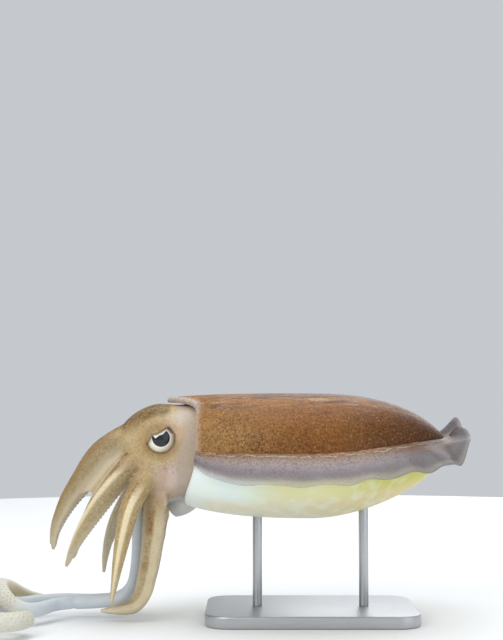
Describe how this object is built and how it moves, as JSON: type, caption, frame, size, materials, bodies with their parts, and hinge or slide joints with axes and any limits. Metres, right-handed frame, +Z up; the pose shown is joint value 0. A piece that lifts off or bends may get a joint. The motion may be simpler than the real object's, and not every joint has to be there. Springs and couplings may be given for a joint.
{
  "type": "cuttlefish",
  "caption": "Life-size needle cuttlefish with arms hanging from its head and long tentacles curled in front, held above a plain flat base on rods.",
  "frame": {"origin": "centre of the stand base's underside, on the floor below the middle of the mantle", "axes": "+X towards the tail, so the head points to -X; +Y towards the animal's right side; +Z up, towards its back"},
  "size_m": [0.2429, 0.1225, 0.1135],
  "materials": {
    "mantle_skin": "moist skin, brown and mottled on the back, pale on the belly",
    "fin_membrane": "moist translucent skin, blue grey with fine dots",
    "head_skin": "moist skin, tan with olive and orange patches",
    "arm_skin": "moist skin, tan with a pale ridge",
    "tentacle_skin": "moist skin, blue white",
    "funnel_skin": "moist skin, pale grey",
    "mouth_skin": "moist lips round a dark horny beak",
    "eye": "wet gloss, dark pupil over a pale iris",
    "stand_metal": "satin"
  },
  "bodies": {
    "root": {"mantle": "mantle_skin", "fin_left": "fin_membrane", "fin_right": "fin_membrane", "head": "head_skin", "eye_left": "eye", "eye_right": "eye", "funnel": "funnel_skin", "mouth": "mouth_skin", "arm_1_left": "arm_skin", "arm_1_right": "arm_skin", "arm_2_left": "arm_skin", "arm_2_right": "arm_skin", "arm_3_left": "arm_skin", "arm_3_right": "arm_skin", "arm_4_left_upper": "arm_skin", "arm_4_left_lower": "arm_skin", "arm_4_right_upper": "arm_skin", "arm_4_right_lower": "arm_skin", "tentacle_left_1": "tentacle_skin", "tentacle_left_2": "tentacle_skin", "tentacle_left_3": "tentacle_skin", "tentacle_right_1": "tentacle_skin", "tentacle_right_2": "tentacle_skin", "tentacle_right_3": "tentacle_skin", "club_left_1": "tentacle_skin", "club_left_2": "tentacle_skin", "club_right_1": "tentacle_skin", "club_right_2": "tentacle_skin", "stand_base": "stand_metal", "stand_rod_front": "stand_metal", "stand_rod_rear": "stand_metal"}
  },
  "joints": []
}
